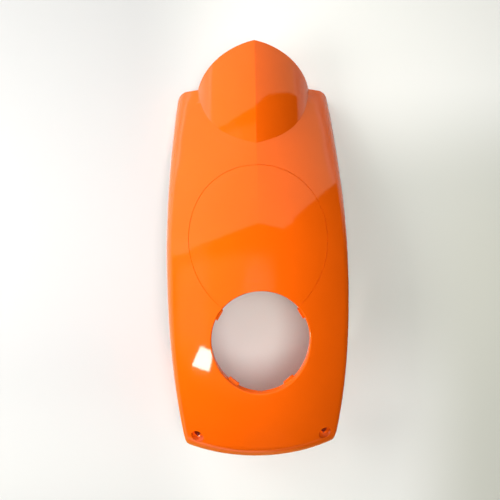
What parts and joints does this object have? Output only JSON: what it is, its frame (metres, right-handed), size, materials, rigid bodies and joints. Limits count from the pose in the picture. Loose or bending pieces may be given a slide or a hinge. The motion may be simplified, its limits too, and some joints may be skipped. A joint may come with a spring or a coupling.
{
  "type": "scooter leg shield",
  "caption": "Glossy moulded front leg shield for a small scooter, a convex panel with side walls, a raised keeled neck, a round headlamp opening and sunk screw seats.",
  "frame": {"origin": "middle of the part's length and width, on the plane of its rear edge, which it rests on", "axes": "+X across the panel, +Y along it towards the neck, +Z out of the front face"},
  "size_m": [0.2098, 0.462, 0.1194],
  "materials": {
    "shell": "orange, high gloss, moulded in colour"
  },
  "bodies": {
    "root": {"leg_shield": "shell"}
  },
  "joints": []
}
